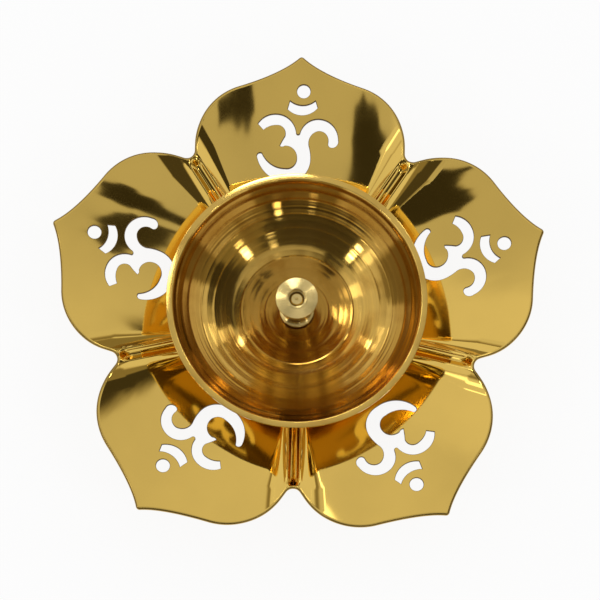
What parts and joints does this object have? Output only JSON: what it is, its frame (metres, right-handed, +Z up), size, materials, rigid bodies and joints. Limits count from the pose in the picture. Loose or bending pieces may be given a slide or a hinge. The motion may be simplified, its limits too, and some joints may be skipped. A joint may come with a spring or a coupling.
{
  "type": "lotus diya oil lamp",
  "caption": "Brass oil lamp: a round turned bowl with a wick post in its middle, on a pressed lotus flower plate with pierced Om signs and a round foot.",
  "frame": {"origin": "centre of the foot's flat underside, on the lamp's axis", "axes": "+Z up along the lamp's axis, +Y along the middle of one petal"},
  "size_m": [0.1484, 0.1453, 0.0366],
  "materials": {
    "polished_brass": "mirror polished",
    "turned_brass": "turned with fine rings, polished",
    "satin_brass": "as turned, satin",
    "seal": "matt"
  },
  "bodies": {
    "root": {"foot": "polished_brass", "petal_plate": "polished_brass", "plate_washer": "satin_brass", "plate_nut": "satin_brass", "centre_stud": "satin_brass"},
    "bowl": {"oil_bowl": "turned_brass", "seal_washer": "seal"},
    "post": {"wick_post": "satin_brass"}
  },
  "joints": [
    {"name": "bowl_lift", "type": "slide", "parent": "root", "child": "bowl", "axis": [0, 0, 1], "range_m": [0, 0.03]},
    {"name": "post_lift", "type": "slide", "parent": "bowl", "child": "post", "axis": [0, 0, 1], "range_m": [0, 0.03]}
  ]
}
